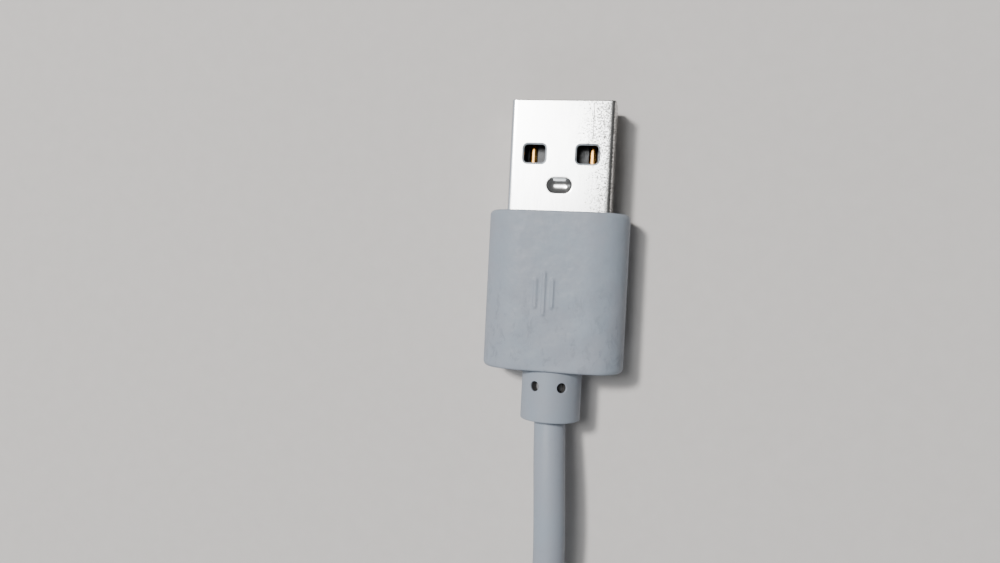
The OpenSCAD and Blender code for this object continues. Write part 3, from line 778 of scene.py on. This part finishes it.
# The shrink sleeve's middle line and that of the four leads, as X and the distance from
# the hank's middle, in mm. A lead stop adds its height and the leads' spacing there.
SHRINK = [(14.7, -25.8), (13.9, -22), (12.4, -18), (10.3, -14)]
LEADS = [(10.3, -14, 9.70, 0), (8.4, -11, 9.55, 0.75), (5.9, -6.5, 9.1, 1.25),
         (4.7, 0, 8.87, 1.2), (2.7, 5.5, 8.87, 1.25), (1.1, 9.5, 8.87, 1.25),
         (0.4, 13, 6.25, 1.35), (0.1, 16, 2.72, 2), (0, 19, 1.37, 2.54)]
LEAD_COLOURS = {"black": (0.012, 0.012, 0.013), "white": (0.72, 0.71, 0.68),
                "green": (0.02, 0.22, 0.06), "red": (0.5, 0.015, 0.012)}


class CABLE_OT_far_end(Maker, bpy.types.Operator):
    bl_idname = "cable.far_end"
    bl_label = "Far end"

    def sleeve(self, cord):
        """A tube whose radius falls from the jacket's to the bundle of leads'."""
        z = middle(corners("shrink_sleeve"))[2]
        knots = np.array([(x * MM, HANK_Y + y * MM, z) for x, y in SHRINK])
        line = evenly(smooth(knots, 12), 0.25 * MM)
        share = np.linspace(0, 1, len(line))
        radius = 2.24 * MM - 0.55 * MM * ease((share - 0.5) / 0.3)
        radius += 0.03 * MM * np.sin(share * 40) * ease((share - 0.3) / 0.2)
        edge = np.clip(np.minimum(share, 1 - share) / 0.02, 0, 1)
        radius -= 0.12 * MM * (1 - np.sqrt(1 - (1 - edge) ** 2))
        mesh = build("jacket_sleeve", [tube(line, radius, 32)], sharp=50)
        return show(mesh, shrink_polymer(), "shrink_sleeve")

    def lead(self, cord, k, name, tint):
        """One lead: two by two in the sleeve, side by side under the tie."""
        room = cord.wire / MM + 0.1
        knots = []
        for x, y, z, spacing in LEADS:
            pair, one = (1 if k > 1 else -1), k % 2 - 0.5
            row = pair * max(room / 2, spacing) + one * spacing
            stagger = one * math.sqrt(max(room ** 2 - spacing ** 2, 0))
            knots.append((x + row, y + HANK_Y / MM, z + stagger))
        line = eased(evenly(smooth(np.array(knots) * MM, 16), 0.35 * MM), 3)
        mesh = build("lead_" + name + "_wire", [tube(line, cord.wire / 2, 16)], sharp=50)
        return show(mesh, insulation("wire_" + name, tint), "lead_" + name), line

    def housing(self):
        """A block of cells, some of them empty: four cavities, each with a pin hole in
        front and a latch window above, and a groove between the ways."""
        low, high = HOUSING
        ways, groove, wall = 4, 0.16 * MM, 0.5 * MM
        pin, latch, cavity, rib = 0.5 * MM, 0.6 * MM, 0.95 * MM, 1.11 * MM
        pitch, depth, z_mid = span(HOUSING)[0] / ways, span(HOUSING)[1], middle(HOUSING)[2]
        half = np.array([-rib, -cavity, -latch, -pin, pin, latch, cavity, rib])
        middles = low[0] + pitch * (np.arange(ways) + 0.5)
        xs = np.array([low[0], *(middles[:, None] + half).ravel(), high[0]])
        ys = low[1] + np.array([0, depth * 0.3, depth * 0.52, depth - wall, depth])
        zs = np.array([low[2], low[2] + groove, z_mid - cavity, z_mid - pin,
                       z_mid + pin, z_mid + cavity, high[2] - groove, high[2]])
        x, y, z = np.meshgrid(*((a[:-1] + a[1:]) / 2 for a in (xs, ys, zs)), indexing="ij")
        across = np.abs((x - low[0]) % pitch - pitch / 2)
        up = np.abs(z - z_mid)
        hollow = (across < cavity) & (up < cavity) & (y < ys[3])
        hollow |= (across < pin) & (up < pin) & (y > ys[2])
        hollow |= (across < latch) & (z > z_mid) & (y > ys[1]) & (y < ys[2])
        hollow |= (across > rib) & (z > zs[6]) & (x > xs[1]) & (x < xs[-2])
        return xs, ys, zs, ~hollow

    def carve(self, name, xs, ys, zs, solid):
        """The faces between full and empty cells of a block."""
        full = np.pad(solid, 1)
        corner = np.stack(np.meshgrid(xs, ys, zs, indexing="ij"), -1)
        index = np.arange(corner[..., 0].size).reshape(corner.shape[:3])
        faces = []
        for axis in range(3):
            b, c = (axis + 1) % 3, (axis + 2) % 3
            change = np.diff(full.astype(int), axis=axis)
            trim = [slice(1, -1)] * 3
            trim[axis] = slice(None)
            i = np.argwhere(change[tuple(trim)])
            step_b, step_c = np.eye(3, dtype=int)[b], np.eye(3, dtype=int)[c]
            quad = [i, i + step_b, i + step_b + step_c, i + step_c]
            faces.append(np.stack([index[tuple(q.T)] for q in quad], 1))
        return build(name, [(corner.reshape(-1, 3), np.concatenate(faces))], sharp=30)

    def make(self, plug, grip, cord):
        sleeve = self.sleeve(cord)
        mesh = self.carve("crimp_housing", *self.housing())
        black = hard_plastic("housing_plastic", (0.012, 0.012, 0.013), 0.4)
        housing = show(mesh, black, "socket_housing")
        bevel = housing.modifiers.new("edges", "BEVEL")
        bevel.width, bevel.segments, bevel.limit_method = 0.06 * MM, 2, "ANGLE"
        leads = [self.lead(cord, k, *item) for k, item in enumerate(LEAD_COLOURS.items())]
        piece, line = bpy.data.objects["interface_cord"], CABLE_OT_cord.line
        tuple(line[0])
        round(float(run(line)[-1]), 3)
        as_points(line)
        for lead, way in leads:
            tuple(way[0])
            round(float(run(way)[-1]), 4)
            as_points(way)


class CABLE_OT_shell(Maker, bpy.types.Operator):
    """Build the plug's folded metal shell"""
    bl_idname = "cable.shell"
    bl_label = "Plug shell"

    def make(self, plug, grip, cord):
        """The sheet is laid out flat, U round the section and V along the plug, with its
        windows punched and its dimple pressed, and is then folded: a point at a depth
        lies inside the outline by that depth. Edges roll over as quarter circles."""
        w, _, h = span(SHELL)
        held, gap, roll, pad, cell = 3 * MM, 0.02 * MM, 0.1 * MM, 0.45 * MM, 0.3 * MM
        front, rear = SHELL[1][1], GRIP[1][1] - held
        knots = rounded_run(0, w, h, plug.bend)[2]
        total, top = knots[-1], knots[-1] / 2
        window_v = front - plug.window_back
        blocks = [block_at(u, window_v, plug.window_w / 2 + pad, plug.window_l / 2 + pad)
                  for u in (top - plug.window_x, top + plug.window_x, plug.window_x,
                            total - plug.window_x)]
        press = block_at(top, front - plug.dimple_back, plug.dimple_w / 2 + pad,
                         plug.dimple_l / 2 + pad)
        edge = roll * np.array([0, 0.08, 0.3, 0.62, 1, 1.8, 3.2])
        us = grid_lines([*(gap + edge), *(total - gap - edge), *press[0], *knots[1:-1],
                         *(b for block in blocks for b in block[0])], cell,
                        list(zip(knots[1::2], knots[2::2])))
        vs = grid_lines([*(rear + edge), *(front - edge), *blocks[0][1], *press[1]], cell)
        u, v = np.meshgrid(us, vs, indexing="ij")
        from_edge = np.minimum.reduce([u - gap, total - gap - u, v - rear, front - v])
        near = np.clip(from_edge, 0, roll)
        drop = roll - np.sqrt(np.maximum(roll ** 2 - (roll - near) ** 2, 0))
        outer = np.stack([u, v, drop], -1)
        inner = np.stack([u, v, plug.sheet - drop], -1)
        keep = outside(us, vs, blocks + [press])
        flat = [np.stack([outer[rim], inner[rim]])
                for rim in (np.s_[0, :], np.s_[-1, :], np.s_[:, 0], np.s_[:, -1])]
        flat += [self.punch(us, vs, block, plug) for block in blocks]
        flat += self.press(us, vs, press, plug)
        flat = [(outer, keep), (inner, keep)] + [(points, None) for points in flat]
        patches = [grid(self.fold(points, w, h, plug.bend).reshape(points.shape), cells)
                   for points, cells in flat]
        patches += self.ears(plug, rear)
        mesh = build("plug_shell_sheet", patches, sharp=28)
        show(mesh, nickel(tuple(plug.metal), h / 2, window_v + plug.window_l / 2),
             "plug_shell", slot="shell_metal")

    @staticmethod
    def fold(points, w, h, bend):
        """From distance round, distance along and depth to a place on the plug."""
        s, y, depth = points.reshape(-1, 3).T
        centre, way, _ = rounded_run(s, w, h, bend)
        place = centre + way * (bend - depth)[:, None]
        return np.stack([place[:, 0], y, place[:, 1] + AXIS_Z], 1)

    @staticmethod
    def punch(us, vs, block, plug):
        """A window: the punch has dished its outer edge, and its inner edge is sharp."""
        roll = 0.19 * MM
        t = np.linspace(0, 1, 6)
        profile = [(roll * k, 0) for k in (1.4, 0.7, 0.25)]
        profile += list(zip(-roll * t, roll * (0.9 * t - 0.3 * t ** 2)))
        profile += [(-roll, plug.sheet * 0.93), (0.02 * MM - roll, plug.sheet),
                    (0.2 * MM - roll, plug.sheet)]
        return collar(us, vs, block, plug.window_w, plug.window_l, plug.window_r, profile, 0,
                      plug.sheet)

    @staticmethod
    def press(us, vs, block, plug):
        """The dimple, on both faces of the sheet: a bowl that is steepest at its edge."""
        insets = np.array([0.34, 0.24, 0.17, 0.11, 0.06, 0.02, -0.02, -0.06, -0.11, -0.17,
                           -0.24, -0.32, -0.41, -0.5, -0.6, -0.7, -0.8, -0.87]) * MM
        x = -insets / (plug.dimple_l / 2)
        share = (x + np.sqrt(x ** 2 + 0.05 ** 2)) / 2
        bowl = plug.dimple_deep * (1 - (1 - np.minimum(share, 1)) ** 2.2)
        for below in (0, plug.sheet):
            yield collar(us, vs, block, plug.dimple_w, plug.dimple_l,
                         plug.dimple_l / 2 - 10 * NIL, list(zip(insets, bowl + below)), below)

    @staticmethod
    def ears(plug, rear):
        """Two flat ears behind the shell that hold the board's edges: a box each."""
        low, high = corners("circuit_board")
        past, gap = 0.5 * MM, 0.02 * MM
        for side in (-1, 1):
            x = np.array([SHELL[1][0], SHELL[1][0] - plug.sheet]) * side
            box = np.stack(np.meshgrid(sorted(x), (SHELL[0][1], rear - gap),
                                       (low[2] - past, high[2] + past), indexing="ij"), -1)
            for face in (box[0], box[1], box[:, 0], box[:, 1], box[:, :, 0], box[:, :, 1]):
                yield grid(face)


class CABLE_OT_contacts(Maker, bpy.types.Operator):
    """Form the four contact blades"""
    bl_idname = "cable.contacts"
    bl_label = "Contact blades"

    def make(self, plug, grip, cord):
        """A coined blade: its section is a flattened round, carried along a profile that
        dips at the tip and runs back flat to its tail."""
        gold = plated("contact_gold", (0.48, 0.24, 0.06), 0.14)
        for name in ("supply", "data_minus", "data_plus", "ground"):
            node = "contact_" + name
            low, high = corners(node)
            top, thick, tip = high[2], 0.25 * MM, high[1]
            line = smooth([(low[1], top), (tip - 3 * MM, top), (tip - 0.9 * MM, top),
                           (tip - 0.4 * MM, top - 0.2 * MM),
                           (tip - 0.08 * MM, low[2] + 0.22 * MM)], 8)
            a = np.linspace(0, 2 * np.pi, 33)
            x = (low[0] + high[0]) / 2 + (
                (high[0] - low[0]) / 2 * np.sign(np.cos(a)) * np.abs(np.cos(a)) ** 0.9)
            z = thick * (np.sin(a) * np.where(np.sin(a) > 0, 0.8, 0.2) - 0.8)
            heading = unit(np.gradient(line, axis=0))
            up = np.stack([-heading[:, 1], heading[:, 0]], 1)
            rings = np.stack([np.broadcast_to(x, (len(line), len(a))),
                              line[:, :1] + up[:, :1] * z, line[:, 1:] + up[:, 1:] * z], -1)
            rings[:, -1] = rings[:, 0]
            ends = [np.broadcast_to(rings[k].mean(0), rings[k].shape)[None] for k in (0, -1)]
            mesh = build("blade_" + name, [grid(np.concatenate([ends[0], rings, ends[1]]))])
            show(mesh, gold, node)


class CABLE_OT_grip(Maker, bpy.types.Operator):
    """Mould the grip over the shell"""
    bl_idname = "cable.grip"
    bl_label = "Grip"

    @staticmethod
    def outline(grip, half_w, half_h):
        """The section as X and Z: a flat, then a squared ellipse, in four quarters."""
        flat = grip.flat * half_w / (span(GRIP)[0] / 2)
        a = np.linspace(0, np.pi / 2, 27)[1:]
        x = np.concatenate([np.linspace(0, flat, 23),
                            flat + (half_w - flat) * np.sin(a) ** (2 / grip.crown)])
        z = np.concatenate([np.full(23, half_h), half_h * np.cos(a) ** (2 / grip.crown)])
        x = np.concatenate([x, x[-2::-1], -x[1:], -x[-2::-1]])
        z = np.concatenate([z, -z[-2::-1], -z[1:], z[-2::-1]])
        return np.stack([x, z], 1)

    @staticmethod
    def relief(x, y, grip):
        """Height added to the top: three bars with round ends, and slow waves that grow
        towards the rear."""
        found = 0
        for k, half in ((-1, 1.5), (0, 2.3), (1, 1.5)):
            dx = x - (-0.95 + k * 0.95) * MM
            dy = np.maximum(np.abs(y + 3.7 * MM) - half * MM, 0)
            found = found + ease((0.3 * MM - np.hypot(dx, dy)) / (0.16 * MM))
        u, v = x / MM, y / MM
        wave = (np.sin(1.1 * u + 0.6 * v) + np.sin(0.7 * u - 1.3 * v + 1)
                + np.sin(1.9 * u + 1.5 * v + 2) * 0.5)
        return grip.bar_raise * found + 0.025 * MM * wave * ease(-(v - 1) / 6)

    def make(self, plug, grip, cord):
        """Rings along the plug. Near each end the width falls by the corner's quarter
        circle and the height by the rim's. Inside, the rings follow the mould."""
        low, high = GRIP
        half_w, _, half_h = span(GRIP) / 2
        near = np.array([0, 0.02, 0.06, 0.12, 0.2, 0.3, 0.4, 0.52, 0.66, 0.84, 1.1]) * MM
        between = np.linspace(low[1] + near[-1], high[1] - near[-1], 112)[1:-1]
        ys = np.concatenate([low[1] + near, between, (high[1] - near)[::-1]])
        end = np.minimum(ys - low[1], high[1] - ys)

        def quarter(r):
            """How far a quarter circle of radius r falls at each ring."""
            d = np.clip(r - end, 0, r)
            return r - np.sqrt(r ** 2 - d ** 2)

        skin = np.stack([at_y(self.outline(grip, half_w - dw, half_h - dh), y)
                         for y, dw, dh in zip(ys, quarter(grip.corner), quarter(grip.rim))])
        on_top = skin[..., 2] > half_h * 0.55
        raised = self.relief(skin[..., 0], skin[..., 1], grip) * ease(end / (0.8 * MM))[:, None]
        skin[..., 2] += np.where(on_top, raised, 0)
        angles = np.arctan2(skin[0, :, 2], skin[0, :, 0])
        w, _, h = span(SHELL)
        mould_w, _, mould_h = span(MOULD)
        flange_w, sleeve, flange_y = span(RELIEF)[0], grip.sleeve_d, low[1] + REAR_WALL
        steps = [(high[1] - y * MM, w + add * MM, h + add * MM, r * MM) for y, add, r in (
            (0, 0.5, 0.75), (0.03, 0.22, 0.61), (0.14, 0.06, 0.53))]
        steps += [(MOULD[1][1], w + 0.02 * MM, h + 0.02 * MM, 0.51 * MM),
                  (MOULD[1][1], mould_w, mould_h, 0.1 * MM),
                  (MOULD[0][1], mould_w, mould_h, 0.1 * MM),
                  (MOULD[0][1], flange_w, mould_h, 1.2 * MM),
                  (flange_y, flange_w, mould_h, 1.2 * MM),
                  (flange_y, sleeve, sleeve, sleeve / 2 - NIL),
                  (low[1] + 0.08 * MM, sleeve, sleeve, sleeve / 2 - NIL),
                  (low[1], sleeve + 0.2 * MM, sleeve + 0.2 * MM, sleeve / 2)]
        bore = [at_y(reach(angles, a, b, r), y) for y, a, b, r in steps]
        rings = np.concatenate([skin, np.stack(bore), skin[:1]])
        rings[:, -1] = rings[:, 0]
        mesh = build("grip_moulding", [grid(rings + [0, 0, AXIS_Z])], sharp=40)
        show(mesh, grip_vinyl(tuple(grip.vinyl)), "grip")


class CABLE_OT_strain_relief(Maker, bpy.types.Operator):
    """Mould the strain relief with its vent holes"""
    bl_idname = "cable.strain_relief"
    bl_label = "Strain relief"

    def make(self, plug, grip, cord):
        """A cylinder laid out flat, U round it and V along it, with a block of rings for
        each blind hole, then rolled up. The hidden flange and the bore close it."""
        radius = grip.sleeve_d / 2
        rear, flange_rear = RELIEF[0][1], GRIP[0][1] + REAR_WALL
        pad, cell, roll, lip, fit = 0.3 * MM, 0.2 * MM, 0.16 * MM, 0.07 * MM, 0.01 * MM
        size = grip.vent_d / 2 + pad
        blocks = [block_at(a * radius, GRIP[0][1] - grip.vent_back, size, size)
                  for a in np.radians([27, 153, 207, 333])]
        q = np.linspace(0, np.pi / 2, 6)
        us = grid_lines([0, 2 * np.pi * radius, *(b for block in blocks for b in block[0])], cell)
        vs = grid_lines([rear + roll, rear + roll * 1.3, rear + roll * 2, *blocks[0][1],
                         GRIP[0][1] - 0.2 * MM, flange_rear], cell)
        u, v = np.meshgrid(us, vs, indexing="ij")
        skin = np.stack([u, v, 0 * u], -1)
        deep = grip.vent_deep
        profile = [(lip * k, 0) for k in (2.5, 1.5)]
        profile += list(zip(lip * (1 - np.sin(q)), lip * (1 - np.cos(q))))
        profile += [(0, deep * 0.5), (0, deep - 0.1 * MM), (-0.04 * MM, deep - 0.03 * MM),
                    (-0.12 * MM, deep), (-0.3 * MM, deep)]
        patches = [grid(self.roll(skin, radius), outside(us, vs, blocks))]
        for block in blocks:
            hole = collar(us, vs, block, grip.vent_d, grip.vent_d, grip.vent_d / 2 - NIL,
                          profile, 0)
            patches.append(grid(self.roll(hole, radius)))
        bore = cord.diameter / 2
        turn = us / radius
        tail = [(rear + roll * (1 - np.sin(a)), radius - roll * (1 - np.cos(a))) for a in q]
        tail += [(rear, radius - roll - 0.3 * MM), (rear, bore + 0.22 * MM),
                 (rear + 0.05 * MM, bore + 0.1 * MM), (rear + 0.2 * MM, bore + fit),
                 (RELIEF[1][1], bore + fit)]
        circle = np.stack([np.sin(turn), np.cos(turn)], 1)
        rings = [at_y(r * circle, y) for y, r in tail]
        edge = reach(np.pi / 2 - turn, span(RELIEF)[0], span(MOULD)[2], 1.2 * MM)
        rings += [at_y(edge, RELIEF[1][1]), at_y(edge, flange_rear),
                  at_y(radius * circle, flange_rear)]
        patches.append(grid(np.stack(rings) + [0, 0, AXIS_Z]))
        mesh = build("strain_relief_sleeve", patches, sharp=40)
        show(mesh, relief_vinyl(tuple(grip.vinyl), rear), "strain_relief", slot="grip_vinyl")

    @staticmethod
    def roll(points, radius):
        """From distance round, distance along and depth to a place on the cylinder."""
        u, v, depth = np.moveaxis(points, -1, 0)
        r = radius - depth
        return np.stack([r * np.sin(u / radius), v, r * np.cos(u / radius) + AXIS_Z], -1)


class CABLE_OT_inner_parts(Maker, bpy.types.Operator):
    """Give the parts inside the plug their finishes"""
    bl_idname = "cable.inner_parts"
    bl_label = "Inner parts"

    def make(self, plug, grip, cord):
        finishes = {
            "contact_carrier": hard_plastic("carrier_plastic", (0.02, 0.02, 0.023), 0.3, 0.001),
            "circuit_board": laminate(),
            "bridge_chip": hard_plastic("chip_plastic", (0.014, 0.014, 0.016), 0.5, 0.006),
            "bridge_chip_leads": plated("lead_tin", (0.72, 0.72, 0.72)),
            "crystal": plated("crystal_can", (0.78, 0.77, 0.73), 0.2),
            "capacitors": ceramic("ceramic", (0.50, 0.33, 0.18)),
            "resistors": ceramic("resistor_film", (0.02, 0.02, 0.024)),
            "resettable_fuse": ceramic("fuse_polymer", (0.05, 0.17, 0.08)),
            "solder_joints": solder(),
            "inner_mould": hard_plastic("inner_fill", (0.60, 0.56, 0.45), 0.45, 0.006),
            "jacket_end": bpy.data.objects["interface_cord"].active_material,
            "socket_contacts": plated("terminal_tin", (0.76, 0.74, 0.66), 0.3),
        }
        for name in LEAD_COLOURS:
            finishes["wire_" + name] = bpy.data.objects[f"lead_{name}_wire"].active_material
        for node, material in finishes.items():
            coat(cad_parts[node], material)


OPERATORS = (CABLE_OT_stage, CABLE_OT_cord, CABLE_OT_tie, CABLE_OT_far_end, CABLE_OT_shell,
             CABLE_OT_contacts, CABLE_OT_grip, CABLE_OT_strain_relief, CABLE_OT_inner_parts)


class CABLE_PT_panel(bpy.types.Panel):
    """Sizes, colours and the steps that build the cable"""
    bl_idname = "CABLE_PT_panel"
    bl_label = "Serial Programming Cable"
    bl_space_type = "VIEW_3D"
    bl_region_type = "UI"
    bl_category = "Cable"

    def draw(self, context):
        for name, group in GROUPS.items():
            box = self.layout.box()
            for key in group.__annotations__:
                box.prop(getattr(context.scene, name), key)
        for operator in OPERATORS:
            self.layout.operator(operator.bl_idname)


def register():
    for group in GROUPS.values():
        bpy.utils.register_class(group)
    for name, group in GROUPS.items():
        setattr(bpy.types.Scene, name, PointerProperty(type=group))
    for item in (*OPERATORS, CABLE_PT_panel):
        bpy.utils.register_class(item)


def unregister():
    for item in (CABLE_PT_panel, *reversed(OPERATORS)):
        bpy.utils.unregister_class(item)
    for name, group in GROUPS.items():
        delattr(bpy.types.Scene, name)
        bpy.utils.unregister_class(group)


def main():
    register()
    bpy.ops.cable.stage()
    bpy.ops.cable.cord()
    bpy.ops.cable.tie()
    bpy.ops.cable.far_end()
    bpy.ops.cable.shell()
    bpy.ops.cable.contacts()
    bpy.ops.cable.grip()
    bpy.ops.cable.strain_relief()
    bpy.ops.cable.inner_parts()
    boxes = {"cad": CAD_BOX, "visual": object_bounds()}
    {name: [list(corner) for corner in box] for name, box in boxes.items()}


if __name__ == "__main__":
    main()
